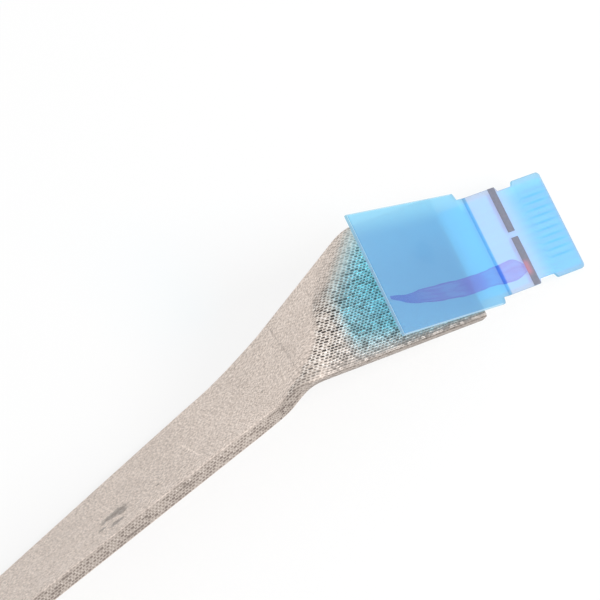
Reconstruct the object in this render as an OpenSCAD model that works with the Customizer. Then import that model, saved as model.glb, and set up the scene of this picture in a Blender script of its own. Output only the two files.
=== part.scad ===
// Shielded flat flex cable. Flat copper conductors lie between two insulation
// films, a woven conductive cloth is wrapped round them, and each bare end is
// stiffened. One stiffener carries on past its crease as a lifted pull tab.
// The cable is folded askew near that end, so it rests on a corner of its contact
// tip and on the lower edge of the wrap, and then settles flat on the surface.
//
// Along the cable every piece is placed by three strip coordinates:
// u runs from the contact tip, v across the strip and h up through its layers,
// with h = 0 at the middle of the conductors.

/* [Conductors] */
// Length of the cable along its middle line
cable_length = 120; // [100:1:200]
// Number of flat conductors
conductor_count = 10; // [4:1:10]
// Distance from one conductor to the next
conductor_pitch = 0.5; // [0.44:0.01:0.5]
// Width of a conductor
conductor_w = 0.3; // [0.2:0.01:0.34]
// Thickness of a conductor
conductor_t = 0.05; // [0.03:0.005:0.08]

/* [Insulation films] */
// Thickness of the film over and under the conductors
film_t = 0.06; // [0.03:0.005:0.1]
// Film left outside the first and the last conductor
film_margin = 0.35; // [0.2:0.01:0.4]
// Length of conductor that the lower film leaves bare at each end
bare_length = 2; // [1.2:0.1:4]
// Gap between neighbouring layers
layer_gap = 0.02; // [0.015:0.001:0.03]

/* [Cloth wrap] */
// Width of the flattened wrap
wrap_w = 7.4; // [6.8:0.1:8]
// Thickness of the wound cloth on each side
wrap_t = 0.24; // [0.15:0.01:0.3]
// Thickness of the single ply that laps over the seam underneath
lap_t = 0.11; // [0.06:0.01:0.15]
// How far the lap reaches from the wrap's near edge
lap_w = 4.2; // [2:0.1:6]
// Radius of the wrap's long edges
wrap_edge_r = 0.16; // [0.08:0.01:0.2]
// Distance from a tip to the cut end of the wrap
wrap_start = 7.1; // [6.5:0.1:9]

/* [Stiffeners] */
// Thickness of the stiffener film
stiffener_t = 0.19; // [0.1:0.01:0.25]
// Length of the plain stiffener at the far end
plain_stiffener_length = 6; // [3:0.1:6.5]
// How far the ears stand out past the insulation film
ear_out = 0.28; // [0.1:0.01:0.4]
// Length of the ears at the tip
ear_length = 1.8; // [1:0.1:2]
// Length of the notch behind each ear
notch_length = 1.25; // [1:0.05:1.5]
// Radius of the corners at the tip
tip_r = 0.2; // [0.1:0.01:0.3]
// Radius of the notches' inner corners
notch_r = 0.16; // [0.1:0.01:0.2]

/* [Pull tab] */
// Distance from the tip to the crease
crease_u = 5; // [4.4:0.1:5.5]
// Inside radius of the bend at the crease
crease_r = 0.8; // [0.4:0.05:1.2]
// Angle by which the tab is lifted
tab_lift = 19; // [12:1:30]
// Length of the tab past the crease
tab_length = 9; // [6:0.1:10]
// Length of the narrow stretch before the tab widens
tab_neck = 0.4; // [0.2:0.05:1]
// Length of the slanted shoulder where it widens
tab_shoulder = 0.15; // [0.05:0.01:0.4]
// Width of the tab at the shoulder
tab_root_w = 6.85; // [6.5:0.05:7]
// Width of the tab at its free edge
tab_end_w = 7.25; // [7:0.05:8]

/* [Printed marks] */
// Width of an insertion bar, along the cable
bar_w = 0.45; // [0.2:0.05:0.6]
// Gap between the two insertion bars
bar_gap = 0.34; // [0.2:0.02:0.6]
// How far that gap lies off the cable's middle line
bar_gap_v = -0.12; // [-0.2:0.01:0.2]
// Thickness of the ink
ink_t = 0.012; // [0.008:0.001:0.02]
// Length of the inspection stroke, along the film
stroke_length = 10.5; // [6:0.1:10.5]
// Width of the inspection stroke at its widest
stroke_w = 1.15; // [0.8:0.05:1.2]
// How far the stroke's blunt end lies off the cable's middle line
stroke_v = 1.8; // [0:0.1:2]

/* [Lie of the cable] */
// Slope of the contact end above the surface
rise = 20.5; // [18:0.5:24]
// Angle by which the contact end leans over its last conductor
lean = 13.5; // [8:0.5:16]
// Angle between the fold line and the cable
fold_skew = 47; // [45:1:52]
// Angle turned at the fold
fold_turn = 73.5; // [68:0.5:76]
// Radius of the fold, at the conductors
fold_r = 1.2; // [0.9:0.05:1.4]
// Distance from the tip to the middle of the fold
fold_u = 15.3; // [15:0.1:16.5]
// Length from the fold to where the wrap's lower edge meets the surface
touch_length = 22; // [16:1:26]
// Length from there to where the cable lies flat
settle_length = 38; // [30:1:44]
// Twist gained along the cable from the fold, in degrees a millimetre
twist_rate = 0.6; // [0.4:0.05:1]

/* [Hidden] */

fold_steps = 6;
run_steps = 24;
corner_steps = 2;
round_fn = 32;
bend_steps = 6;
// Space kept between the last fold line and the first twisted station
flat_margin = 0.3;

// Layers, as heights above the middle of the conductors
conductor_top = conductor_t / 2;
film_top = conductor_top + layer_gap + film_t;
slot_top = film_top + layer_gap;
wrap_top = slot_top + wrap_t;
wrap_bottom = -wrap_top;
lap_bottom = wrap_bottom - lap_t;
stiffener_bottom = film_top;
stiffener_top = stiffener_bottom + stiffener_t;

// Widths
film_w = (conductor_count - 1) * conductor_pitch + conductor_w + 2 * film_margin;
groove_w = conductor_w + 2 * layer_gap;
slot_w = wrap_w - 2 * wrap_t;
neck_w = film_w + 2 * ear_out;

function clamp01(x) = max(0, min(1, x));
function ease(x) = clamp01(x) * clamp01(x) * (3 - 2 * clamp01(x));
function unit(a) = a / norm(a);
function conductor_v(i) = (i - (conductor_count + 1) / 2) * conductor_pitch;
// Lines along the strip, midway between conductors, that all the wide faces share
function middle_lines() = [for (i = [1:conductor_count - 1]) (i - conductor_count / 2) * conductor_pitch];
function reversed(a) = [for (i = [len(a) - 1:-1:0]) a[i]];

// ---- The contact end: a plane that rises from its tip and leans to one side ----

function rise_u() = [-cos(rise), 0, sin(rise)];
function rise_v() = [-sin(lean) * sin(rise), -cos(lean), -sin(lean) * cos(rise)];
function rise_h() = [cos(lean) * sin(rise), -sin(lean), cos(lean) * cos(rise)];

// ---- The fold: the strip is wound round a cylinder along the fold line ----

function across_fold() = sin(fold_skew) * rise_u() - cos(fold_skew) * rise_v();
function along_fold() = cos(fold_skew) * rise_u() + sin(fold_skew) * rise_v();
function across_after() = cos(fold_turn) * across_fold() - sin(fold_turn) * rise_h();
fold_half = fold_r * fold_turn * PI / 360;
run_u = sin(fold_skew) * across_after() + cos(fold_skew) * along_fold();
run_v = sin(fold_skew) * along_fold() - cos(fold_skew) * across_after();

// The whole part is turned about Z so that the run lies along -X
spin = 180 - atan2(run_u.y, run_u.x);
function spun(a) = [a.x * cos(spin) - a.y * sin(spin), a.x * sin(spin) + a.y * cos(spin), a.z];

// The corner of the film that rests on the surface is at [0, 0, 0]
tip_middle = spun(conductor_top * rise_h() - film_w / 2 * rise_v());

// A station is [middle, direction of v, direction of h]
function rising_station(u) = [tip_middle + spun(u * rise_u()), spun(rise_v()), spun(rise_h())];
function fold_station(share) =
    let (turned = share * fold_turn,
         reach = -fold_half + fold_r * sin(turned),
         drop = fold_r * (1 - cos(turned)),
         advance = (2 * share - 1) * fold_half * cos(fold_skew) / sin(fold_skew),
         middle = fold_u * rise_u() + reach * across_fold() - drop * rise_h() + advance * along_fold())
    [tip_middle + spun(middle), spun(along_fold()) / sin(fold_skew),
     spun(sin(turned) * across_fold() + cos(turned) * rise_h())];
fold_exit = fold_station(1)[0];
fold_exit_u = fold_u + fold_half / sin(fold_skew);
flat_after_fold = wrap_w / 2 * cos(fold_skew) / sin(fold_skew) + flat_margin;

// ---- The run: it twists while it comes down, with its lower edge leading ----

run_start = fold_exit + flat_after_fold * spun(run_u);
run_start_u = fold_exit_u + flat_after_fold;
run_length = touch_length + settle_length;
run_step = run_length / run_steps;
run_end_u = run_start_u + run_length;
start_slope = run_u.z / norm([run_u.x, run_u.y]);
start_roll = atan2(run_v.z / cos(atan(start_slope)), -spun(run_v).y);

function roll(s) = (start_roll + twist_rate * s) * (1 - ease((s - touch_length) / settle_length));
// Depth of the wrap's lowest point below its middle line, for a roll angle
function reach_down(a) = wrap_w / 2 * sin(a) - lap_bottom * cos(a);
start_gap = run_start.z - reach_down(start_roll);
gap_slope = run_u.z - (reach_down(roll(run_step / 10)) - reach_down(start_roll)) / (run_step / 10);
// The lower edge comes down over this length, short enough never to dip below
gap_length = min(touch_length, 3 * start_gap / max(0.01, -gap_slope));
// Height of the lower edge above the surface
function edge_gap(s) =
    let (x = clamp01(s / gap_length))
    start_gap * (1 - ease(x)) + gap_slope * gap_length * x * (1 - x) * (1 - x);
function run_z(s) = edge_gap(s) + reach_down(roll(s));
function run_slope(s) =
    let (a = max(0, s - run_step / 4), b = min(run_length, s + run_step / 4))
    (run_z(b) - run_z(a)) / (b - a);
function level_step(s) = run_step * sqrt(1 - pow(run_slope(s), 2));
run_x = [for (i = 0, x = run_start.x; i <= run_steps;
              x = x - level_step((i + 0.5) * run_step), i = i + 1) x];
function run_station(i) =
    let (s = i * run_step,
         level = [0, -1, 0],
         along = unit([-1, 0, run_slope(s)]),
         up = cross(along, level),
         a = roll(s))
    [[run_x[i], run_start.y, run_z(s)], cos(a) * level + sin(a) * up, cos(a) * up - sin(a) * level];
function flat_station(u) =
    [[run_x[run_steps] - (u - run_end_u), run_start.y, -lap_bottom], [0, -1, 0], [0, 0, 1]];

// Stations for a piece that runs from u_start, before the fold, to u_end
function stations(u_start, u_end) = concat(
    [rising_station(u_start)],
    [for (i = [0:fold_steps]) fold_station(i / fold_steps)],
    [for (i = [0:run_steps]) run_station(i)],
    [flat_station(u_end)]);

// ---- Sweeps: a section of [v, h] points, counter-clockwise, along stations ----

function placed(section, path) = [for (st = path) for (p = section) st[0] + p.x * st[1] + p.y * st[2]];
// Two triangles for each side. The shared edge always leaves from the lower v,
// so facing layers are split alike and stay parallel where the strip twists.
function side_faces(section, rings, first = 0) =
    let (n = len(section))
    [for (i = [0:rings - 2]) for (j = [0:n - 1])
        let (k = (j + 1) % n,
             a = first + i * n + j, b = first + i * n + k,
             c = first + (i + 1) * n + k, d = first + (i + 1) * n + j,
             rising = section[k].x >= section[j].x)
        each rising ? [[a, d, c], [a, c, b]] : [[a, d, b], [b, d, c]]];

// cap lists the convex polygons that fill the section, as indices of its points
module sweep(section, cap, path) {
    last = (len(path) - 1) * len(section);
    polyhedron(
        points = placed(section, path),
        faces = concat(
            cap,
            [for (f = cap) [for (j = reversed(f)) last + j]],
            side_faces(section, len(path))));
}

// outer and inner have as many points as each other, in the same order
module sweep_tube(outer, inner, path) {
    n = len(outer);
    inside = len(path) * n;
    last = (len(path) - 1) * n;
    polyhedron(
        points = concat(placed(outer, path), placed(inner, path)),
        faces = concat(
            side_faces(outer, len(path)),
            [for (f = side_faces(inner, len(path), inside)) reversed(f)],
            [for (j = [0:n - 1])
                let (k = (j + 1) % n)
                each [[j, k, inside + k], [j, inside + k, inside + j]]],
            [for (j = [0:n - 1])
                let (k = (j + 1) % n)
                each [[last + k, last + j, inside + last + j],
                      [last + k, inside + last + j, inside + last + k]]]));
}

// ---- Sections ----

function conductor_section(v) = [
    [v - conductor_w / 2, -conductor_top], [v + conductor_w / 2, -conductor_top],
    [v + conductor_w / 2, conductor_top], [v - conductor_w / 2, conductor_top]];

conductor_cap = [[0, 1, 2, 3]];

// The upper film fills the space between the conductors, in one groove for each
function upper_film_section() = concat(
    [[-film_w / 2, -conductor_top]],
    [for (i = [1:conductor_count])
        let (v = conductor_v(i), half = groove_w / 2, roof = conductor_top + layer_gap)
        each [[v - half, -conductor_top], [v - half, roof], [v + half, roof], [v + half, -conductor_top]]],
    [[film_w / 2, -conductor_top], [film_w / 2, film_top]],
    [for (v = reversed(middle_lines())) [v, film_top]],
    [[-film_w / 2, film_top]]);
// Its end face: a roof piece over each groove, and a web on each side of it
function upper_film_cap() =
    let (n = conductor_count,
         top_right = 4 * n + 2,
         top = function(i) top_right + n - i)
    concat(
        [for (i = [1:n]) [4 * i - 2, 4 * i - 1, top(i), top(i - 1)]],
        [[0, 1, 2, top(0)], [4 * n - 1, 4 * n, 4 * n + 1, top(n)]],
        [for (i = [1:n - 1]) [4 * i - 1, 4 * i, 4 * i + 1, 4 * i + 2, top(i)]]);

function flat_section(half_w, low, high) = concat(
    [[-half_w, low]], [for (v = middle_lines()) [v, low]], [[half_w, low], [half_w, high]],
    [for (v = reversed(middle_lines())) [v, high]], [[-half_w, high]]);
function flat_cap() =
    let (last = 2 * conductor_count + 1)
    [for (i = [0:conductor_count - 1]) [i, i + 1, last - i - 1, last - i]];

// A flattened tube with round long edges. The lap is the step in its underside.
function edge_arc(v, h, r, from) = [for (i = [0:corner_steps])
    let (a = from + 90 * i / corner_steps) [v + r * cos(a), h + r * sin(a)]];
function tube_section(half_w, low, lap_low, high, r, lap_edge, lap_slope) =
    let (lap_end = half_w - lap_edge,
         lines = middle_lines())
    concat(
        edge_arc(-half_w + r, low + r, r, 180),
        [for (v = lines) if (v < lap_end) [v, low]],
        [[lap_end, low], [lap_end + lap_slope, lap_low]],
        [for (v = lines) if (v > lap_end + lap_slope) [v, lap_low]],
        edge_arc(half_w - r, lap_low + r, r, 270),
        edge_arc(half_w - r, high - r, r, 0),
        [for (v = reversed(lines)) [v, high]],
        edge_arc(-half_w + r, high - r, r, 90));

// ---- Stiffener outlines, in the plane of the contact end ----

module on_contact_end(h) {
    translate(tip_middle) rotate([0, 0, spin]) rotate([-lean, -rise, 180]) translate([0, 0, h]) children();
}

module rounded_tip(length, width) {
    translate([tip_r, -width / 2]) square([length - tip_r, width]);
    translate([0, tip_r - width / 2]) square([2 * tip_r, width - 2 * tip_r]);
    for (side = [-1, 1])
        translate([tip_r, side * (width / 2 - tip_r)]) circle(r = tip_r, $fn = round_fn);
}

module notch_outline() {
    translate([-notch_length / 2, notch_r]) square([notch_length, 2 * ear_out]);
    translate([notch_r - notch_length / 2, 0]) square([notch_length - 2 * notch_r, 2 * ear_out]);
    for (end = [-1, 1])
        translate([end * (notch_length / 2 - notch_r), notch_r]) circle(r = notch_r, $fn = round_fn);
}

// The stiffener film from the side. A layer of it lies between two heights,
// both measured from the film's top face.
module bent_profile(low, high, from_u) {
    function bend(r) = [for (i = [0:bend_steps])
        let (a = tab_lift * i / bend_steps)
        [crease_u + r * sin(a), crease_r - r * cos(a)]];
    function tab_end(r) = [crease_u + r * sin(tab_lift) + tab_length * cos(tab_lift),
                           crease_r - r * cos(tab_lift) + tab_length * sin(tab_lift)];
    polygon(concat(
        [[from_u, low]], bend(crease_r - low), [tab_end(crease_r - low)],
        [tab_end(crease_r - high)], reversed(bend(crease_r - high)), [[from_u, high]]));
}

// The part of that layer that lies over the outline given as a child
module bent_layer(low, high, from_u) {
    free_edge = crease_r * (1 - cos(tab_lift)) + tab_length * sin(tab_lift);
    intersection() {
        translate([0, tab_end_w, 0]) rotate([90, 0, 0])
            linear_extrude(2 * tab_end_w) bent_profile(low, high, from_u);
        translate([0, 0, low - ink_t]) linear_extrude(free_edge + high - low + 2 * ink_t) children();
    }
}

// Distance from the tip, seen from above, of a point s past the bend
function tab_u(s) = crease_u + crease_r * sin(tab_lift) + s * cos(tab_lift);

// One side of the film seen from above, carried on past the free edge, where the profile cuts it
function film_side() = concat(
    [for (i = [0:bend_steps])
        let (a = 90 * i / bend_steps) [tip_r * (1 - cos(a)), neck_w / 2 - tip_r * (1 - sin(a))]],
    [[tab_u(tab_neck), neck_w / 2], [tab_u(tab_neck + tab_shoulder), tab_root_w / 2],
     [tab_u(tab_length + stiffener_t), tab_end_w / 2]]);

module film_outline() {
    difference() {
        polygon(concat(film_side(), [for (p = reversed(film_side())) [p.x, -p.y]]));
        for (side = [0, 180])
            translate([ear_length + notch_length / 2, 0]) rotate(side)
                translate([0, neck_w / 2 - ear_out]) notch_outline();
    }
}

// ---- Pieces ----

module conductor(i) {
    color("peru") sweep(conductor_section(conductor_v(i)), conductor_cap, stations(0, cable_length));
}

module upper_film() {
    color("ivory") sweep(upper_film_section(), upper_film_cap(), stations(0, cable_length));
}

module lower_film() {
    color("ivory")
        sweep(flat_section(film_w / 2, -film_top, -conductor_top - layer_gap), flat_cap(),
              stations(bare_length, cable_length - bare_length));
}

module cloth_wrap() {
    color([0.78, 0.73, 0.69])
        sweep_tube(
            tube_section(wrap_w / 2, wrap_bottom, lap_bottom, wrap_top, wrap_edge_r, lap_w, lap_t),
            tube_section(slot_w / 2, -slot_top, -slot_top, slot_top, slot_top / 4, lap_w - wrap_t, lap_t),
            stations(wrap_start, cable_length - wrap_start));
}

module pull_tab_stiffener() {
    color([0.5, 0.78, 0.95])
        on_contact_end(stiffener_top) bent_layer(-stiffener_t, 0, 0) film_outline();
}

module plain_stiffener() {
    end = flat_station(cable_length)[0];
    color([0.5, 0.78, 0.95])
        translate(end + [0, 0, stiffener_bottom]) linear_extrude(stiffener_t)
            rounded_tip(plain_stiffener_length, film_w);
}

// side is 1 for the bar at positive v and -1 for the other
module insertion_bar(side) {
    inner = bar_gap_v + side * bar_gap / 2;
    outer = side * neck_w / 2;
    color([0.45, 0.48, 0.55])
        on_contact_end(stiffener_top)
            translate([ear_length + notch_length, min(inner, outer), 0])
                cube([bar_w, abs(outer - inner), ink_t]);
}

// A brush stroke across the crease, blunt at one end and drawn out at the other.
// Each station is [share of its length, side shift and width as shares of stroke_w].
stroke_stations = [
    [0, 0.1, 0.4], [0.04, 0, 0.9], [0.14, 0, 1], [0.26, 0.02, 0.84], [0.4, 0.12, 0.88], [0.56, 0.1, 0.85],
    [0.75, 0.03, 0.72], [0.88, -0.04, 0.46], [0.95, -0.18, 0.3], [1, -0.3, 0.16]];
stroke_start = ear_length + notch_length + bar_w;

module stroke_outline() {
    bend_length = crease_r * tab_lift * PI / 180;
    function from_above(q) = q < crease_u ? q : tab_u(q - crease_u - bend_length);
    function edge(side) = [for (st = stroke_stations)
        [from_above(stroke_start + st[0] * stroke_length),
         stroke_v + (st[1] + side * st[2] / 2) * stroke_w]];
    polygon(concat(edge(-1), reversed(edge(1))));
}

module inspection_stroke() {
    color([0.85, 0.3, 0.55])
        on_contact_end(stiffener_top) bent_layer(0, ink_t, stroke_start) stroke_outline();
}

for (i = [1:conductor_count])
    conductor(i);
upper_film();
lower_film();
cloth_wrap();
pull_tab_stiffener();
plain_stiffener();
insertion_bar(-1);  // insertion_bar_left
insertion_bar(1);  // insertion_bar_right
inspection_stroke();
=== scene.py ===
"""Shielded flat flex cable: finish, soft pieces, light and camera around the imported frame."""
from functools import reduce
from math import atan, atan2, cos, degrees, hypot, pi, radians, sin, sqrt, tan
from types import SimpleNamespace

import bpy
import numpy as np
from mathutils import Matrix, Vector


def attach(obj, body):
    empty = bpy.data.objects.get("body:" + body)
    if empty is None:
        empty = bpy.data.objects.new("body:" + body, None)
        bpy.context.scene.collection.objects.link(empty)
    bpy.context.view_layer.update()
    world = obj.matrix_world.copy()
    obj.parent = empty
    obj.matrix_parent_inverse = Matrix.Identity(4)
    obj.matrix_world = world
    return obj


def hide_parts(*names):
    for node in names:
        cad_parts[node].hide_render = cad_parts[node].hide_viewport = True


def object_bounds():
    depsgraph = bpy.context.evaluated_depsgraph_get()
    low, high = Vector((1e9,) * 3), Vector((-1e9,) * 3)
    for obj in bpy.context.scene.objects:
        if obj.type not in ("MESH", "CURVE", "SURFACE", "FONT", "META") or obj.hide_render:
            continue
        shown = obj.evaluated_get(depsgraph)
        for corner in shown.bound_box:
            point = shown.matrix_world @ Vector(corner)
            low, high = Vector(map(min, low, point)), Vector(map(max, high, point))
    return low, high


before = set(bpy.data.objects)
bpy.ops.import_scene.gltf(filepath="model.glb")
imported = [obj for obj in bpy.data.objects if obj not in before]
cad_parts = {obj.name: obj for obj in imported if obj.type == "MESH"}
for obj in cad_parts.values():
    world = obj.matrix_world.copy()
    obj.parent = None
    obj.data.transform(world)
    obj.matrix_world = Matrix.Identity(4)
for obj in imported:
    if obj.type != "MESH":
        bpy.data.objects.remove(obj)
cad_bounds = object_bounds()

MM = 0.001

# ---------------------------------------------------------------- sizes of the cable, in mm
CABLE_LENGTH = 120.0
CONDUCTOR_COUNT = 10
CONDUCTOR_T = 0.05
CONDUCTOR_PITCH = 0.5
BARE_LENGTH = 2.0
FILM_T = 0.06
FILM_W = 5.5
LAYER_GAP = 0.02
WRAP_W = 7.4
WRAP_T = 0.24
LAP_T = 0.11
LAP_W = 4.2
WRAP_EDGE_R = 0.16
WRAP_START = 7.1
STIFFENER_T = 0.19
NECK_W = 6.06
EAR_OUT = 0.28
EAR_LENGTH = 1.8
NOTCH_LENGTH = 1.25
TIP_R = 0.2
CREASE_U = 5.0
CREASE_R = 0.8
TAB_LIFT = radians(19)
TAB_LENGTH = 9.0
TAB_NECK = 0.4
TAB_SHOULDER = 0.15
TAB_ROOT_W = 6.85
TAB_END_W = 7.25
BAR_W = 0.45
BAR_GAP = 0.34
BAR_GAP_V = -0.12
STROKE_LENGTH = 10.5
STROKE_W = 1.15
STROKE_V = 1.8
INK_T = 0.012
# The conductors stand this proud of the film that is shown, so no two faces share a plane
PROUD = 0.01

# The lie of the cable: a rising, leaning contact end, an askew fold and a twisting run
RISE = radians(20.5)
LEAN = radians(13.5)
FOLD_SKEW = radians(47)
FOLD_TURN = radians(73.5)
FOLD_R = 1.2
FOLD_U = 15.3
TOUCH_LENGTH = 22.0
SETTLE_LENGTH = 38.0
TWIST_RATE = 0.6
FLAT_MARGIN = 0.3
RUN_STEPS = 24

FILM_TOP = CONDUCTOR_T / 2 + LAYER_GAP + FILM_T
SLOT_TOP = FILM_TOP + LAYER_GAP
WRAP_TOP = SLOT_TOP + WRAP_T
LAP_BOTTOM = -WRAP_TOP - LAP_T
STIFFENER_TOP = FILM_TOP + STIFFENER_T
SLOT_W = WRAP_W - 2 * WRAP_T
BEND_LENGTH = CREASE_R * TAB_LIFT
FILM_END = CREASE_U + BEND_LENGTH + TAB_LENGTH
BAR_U = EAR_LENGTH + NOTCH_LENGTH


# ---------------------------------------------------------------- where a point of the strip lies
def unit(a):
    return a / np.linalg.norm(a)


def ease(x):
    """0 up to x = 0 and 1 from x = 1 on, with a smooth way between."""
    x = min(1.0, max(0.0, x))
    return x * x * (3 - 2 * x)


RISE_U = np.array([-cos(RISE), 0, sin(RISE)])
LEVEL_V = np.array([0, -1.0, 0])
LEVEL_H = np.array([sin(RISE), 0, cos(RISE)])
RISE_V = cos(LEAN) * LEVEL_V - sin(LEAN) * LEVEL_H
RISE_H = cos(LEAN) * LEVEL_H + sin(LEAN) * LEVEL_V
ACROSS_FOLD = sin(FOLD_SKEW) * RISE_U - cos(FOLD_SKEW) * RISE_V
ALONG_FOLD = cos(FOLD_SKEW) * RISE_U + sin(FOLD_SKEW) * RISE_V
ACROSS_AFTER = cos(FOLD_TURN) * ACROSS_FOLD - sin(FOLD_TURN) * RISE_H
AFTER_U = sin(FOLD_SKEW) * ACROSS_AFTER + cos(FOLD_SKEW) * ALONG_FOLD

# All is turned about the vertical, so the run lies along -X
SPIN = pi - atan2(AFTER_U[1], AFTER_U[0])
SPIN_MATRIX = np.array([[cos(SPIN), -sin(SPIN), 0], [sin(SPIN), cos(SPIN), 0], [0, 0, 1]])
U_DIR, V_DIR, H_DIR, ACROSS, ALONG, RUN_U = (
    SPIN_MATRIX @ a for a in (RISE_U, RISE_V, RISE_H, ACROSS_FOLD, ALONG_FOLD, AFTER_U))
RUN_V = sin(FOLD_SKEW) * ALONG - cos(FOLD_SKEW) * (cos(FOLD_TURN) * ACROSS - sin(FOLD_TURN) * H_DIR)
RUN_H = sin(FOLD_TURN) * ACROSS + cos(FOLD_TURN) * H_DIR

TIP_MIDDLE = CONDUCTOR_T / 2 * H_DIR - FILM_W / 2 * V_DIR
FOLD_MIDDLE = TIP_MIDDLE + FOLD_U * U_DIR
FOLD_HALF = FOLD_R * FOLD_TURN / 2
FOLD_COT = cos(FOLD_SKEW) / sin(FOLD_SKEW)

# The bend eases in and out, between the same two planes as an arc of FOLD_R
BEND_SHARE = np.linspace(0, 1, 201)
BEND_ANGLE = FOLD_TURN * (BEND_SHARE - np.sin(2 * pi * BEND_SHARE) / (2 * pi))


def summed(values):
    """The running integral of values along the bend."""
    return np.concatenate([[0], np.cumsum((values[1:] + values[:-1]) / 2) * BEND_SHARE[1]])


BEND_REACH = summed(np.cos(BEND_ANGLE))
BEND_DROP = summed(np.sin(BEND_ANGLE))
BEND_FULL = ((2 * FOLD_R * tan(FOLD_TURN / 2) - 2 * FOLD_HALF)
             / (2 * BEND_DROP[-1] / sin(FOLD_TURN) - 1))


def fold_point(u, v, h):
    """A point on the contact end, on the fold or on the flat stretch just past it."""
    across = (u - FOLD_U) * sin(FOLD_SKEW) - v * cos(FOLD_SKEW)
    along = (u - FOLD_U) * cos(FOLD_SKEW) + v * sin(FOLD_SKEW)
    share = across / BEND_FULL + 0.5
    before, past = np.minimum(share, 0), np.maximum(share - 1, 0)
    turned = np.interp(share, BEND_SHARE, BEND_ANGLE)
    reach = BEND_FULL * (np.interp(share, BEND_SHARE, BEND_REACH) - 0.5
                         + before + past * cos(FOLD_TURN))
    drop = BEND_FULL * (np.interp(share, BEND_SHARE, BEND_DROP) + past * sin(FOLD_TURN))
    return (FOLD_MIDDLE + (reach + h * np.sin(turned))[..., None] * ACROSS
            + (h * np.cos(turned) - drop)[..., None] * H_DIR + along[..., None] * ALONG)


FLAT_AFTER_FOLD = WRAP_W / 2 * FOLD_COT + FLAT_MARGIN
RUN_START_U = FOLD_U + FOLD_HALF / sin(FOLD_SKEW) + FLAT_AFTER_FOLD
RUN_START = fold_point(np.array(RUN_START_U), np.array(0.0), np.array(0.0))
RUN_LENGTH = TOUCH_LENGTH + SETTLE_LENGTH
RUN_STEP = RUN_LENGTH / RUN_STEPS
START_SLOPE = RUN_U[2] / hypot(RUN_U[0], RUN_U[1])
START_ROLL = degrees(atan2(RUN_V[2] / cos(atan(START_SLOPE)), -RUN_V[1]))


def roll(s):
    """Degrees by which the run is turned about its middle line, s after its start."""
    return (START_ROLL + TWIST_RATE * s) * (1 - ease((s - TOUCH_LENGTH) / SETTLE_LENGTH))


def reach_down(angle):
    """How far the wrap reaches below the middle line when it is turned by angle."""
    return WRAP_W / 2 * sin(radians(angle)) - LAP_BOTTOM * cos(radians(angle))


START_GAP = RUN_START[2] - reach_down(START_ROLL)
GAP_SLOPE = RUN_U[2] - (reach_down(roll(RUN_STEP / 10)) - reach_down(START_ROLL)) / (RUN_STEP / 10)
GAP_LENGTH = min(TOUCH_LENGTH, 3 * START_GAP / max(0.01, -GAP_SLOPE))


def run_z(s):
    """Height of the run's middle line: the wrap comes down to the surface and stays on it."""
    x = min(1.0, max(0.0, s / GAP_LENGTH))
    gap = START_GAP * (1 - ease(x)) + GAP_SLOPE * GAP_LENGTH * x * (1 - x) ** 2
    return gap + reach_down(roll(s))


def run_slope(s):
    a, b = max(0.0, s - RUN_STEP / 4), min(RUN_LENGTH, s + RUN_STEP / 4)
    return (run_z(b) - run_z(a)) / (b - a)


def run_stations():
    """Middle, direction of v and direction of h, at each station of the run and past its end."""
    rows, x = [], RUN_START[0]
    for i in range(RUN_STEPS + 1):
        s = i * RUN_STEP
        angle = radians(roll(s))
        up = np.cross(unit(np.array([-1, 0, run_slope(s)])), LEVEL_V)
        v_dir = cos(angle) * LEVEL_V + sin(angle) * up
        h_dir = cos(angle) * up - sin(angle) * LEVEL_V
        rows.append([np.array([x, RUN_START[1], run_z(s)]), v_dir, h_dir])
        x -= RUN_STEP * sqrt(1 - run_slope((i + 0.5) * RUN_STEP) ** 2)
    rows[0][1:] = RUN_V, RUN_H
    flat_middle = rows[-1][0]
    while len(rows) * RUN_STEP < CABLE_LENGTH:
        flat_middle = flat_middle - np.array([RUN_STEP, 0, 0])
        rows.append([flat_middle, LEVEL_V, np.array([0, 0, 1.0])])
    before = [RUN_START - RUN_STEP * RUN_U, RUN_V, rows[0][2]]
    return np.array([before] + rows)


STATIONS = run_stations()


def run_point(u, v, h):
    """A point on the run: a smooth curve through the stations carries the section."""
    k = np.clip((u - RUN_START_U) / RUN_STEP, 0, len(STATIONS) - 4 + 0.999)
    i = np.floor(k).astype(int)
    f = (k - i)[..., None, None]
    p0, p1, p2, p3 = (STATIONS[i + j] for j in range(4))
    row = 0.5 * (2 * p1 + (p2 - p0) * f + (2 * p0 - 5 * p1 + 4 * p2 - p3) * f ** 2
                 + (3 * p1 - p0 - 3 * p2 + p3) * f ** 3)
    return row[..., 0, :] + v[..., None] * row[..., 1, :] + h[..., None] * row[..., 2, :]


def strip_point(u, v, h):
    """A point of the strip: u along it from the contact tip, v across it and h above its middle."""
    u, v, h = np.broadcast_arrays(*(np.asarray(a, float) for a in (u, v, h)))
    return np.where((u > RUN_START_U)[..., None], run_point(u, v, h), fold_point(u, v, h))


def film_point(q, v, up=0.0):
    """A point above the pull-tab film's top face, q along the film from its tip."""
    q, v, up = np.broadcast_arrays(*(np.asarray(a, float) for a in (q, v, up)))
    angle = np.clip((q - CREASE_U) / CREASE_R, 0, TAB_LIFT)
    past = np.maximum(q - CREASE_U - BEND_LENGTH, 0)
    along = np.where(q < CREASE_U, q, CREASE_U + CREASE_R * np.sin(angle) + past * cos(TAB_LIFT))
    high = CREASE_R * (1 - np.cos(angle)) + past * sin(TAB_LIFT)
    return (TIP_MIDDLE + (along - up * np.sin(angle))[..., None] * U_DIR + v[..., None] * V_DIR
            + (STIFFENER_TOP + high + up * np.cos(angle))[..., None] * H_DIR)


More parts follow.
